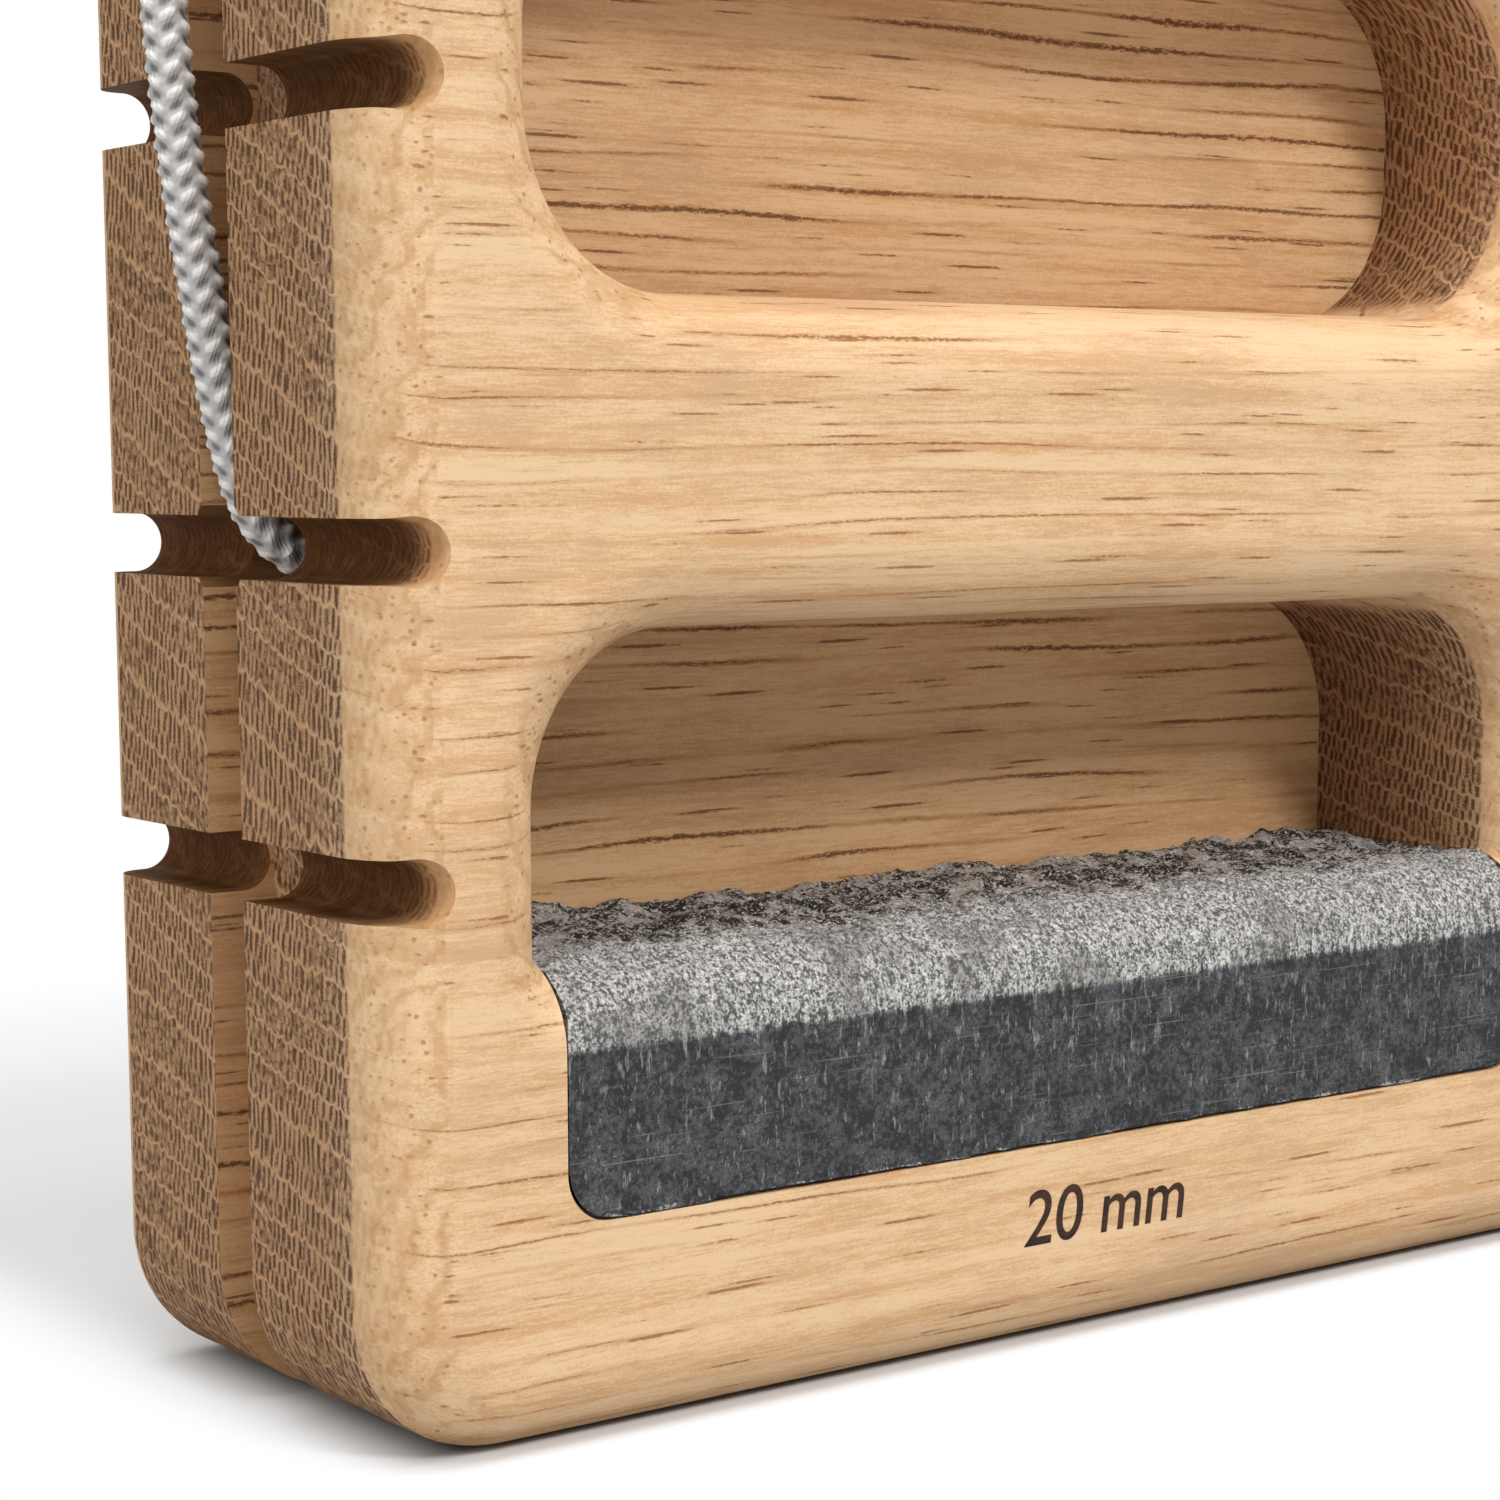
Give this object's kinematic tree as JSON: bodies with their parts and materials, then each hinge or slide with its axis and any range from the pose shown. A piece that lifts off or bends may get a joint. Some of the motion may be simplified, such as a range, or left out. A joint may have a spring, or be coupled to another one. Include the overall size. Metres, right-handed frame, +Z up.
{
  "type": "hangboard",
  "caption": "Portable wooden finger-training block with two routed finger pockets, a bonded stone edge in the lower pocket, grooved, notched sides, and a thin cord through a side-to-side bore",
  "frame": {"origin": "middle of the flat underside of the block, on which it stands; the free cord and its coil lie on the same surface", "axes": "+Z up along the block's height, +X to the right as seen from the front, -Y out of the pocketed front face, +Y out of the plain back"},
  "size_m": [0.1148, 0.0814, 0.114],
  "materials": {
    "oak": "sanded, unlacquered, honey-coloured oak with brown end grain at the sides",
    "stone": null,
    "adhesive": "dark cured adhesive",
    "braid": "white braided cord, slightly glossy"
  },
  "bodies": {
    "root": {"oak_block": "oak", "stone_edge": "stone", "adhesive_bed": "adhesive", "cord_bore_run": "braid", "cord_left_leg": "braid", "cord_right_leg": "braid", "cord_coil": "braid", "cord_knot": "braid"}
  },
  "joints": []
}
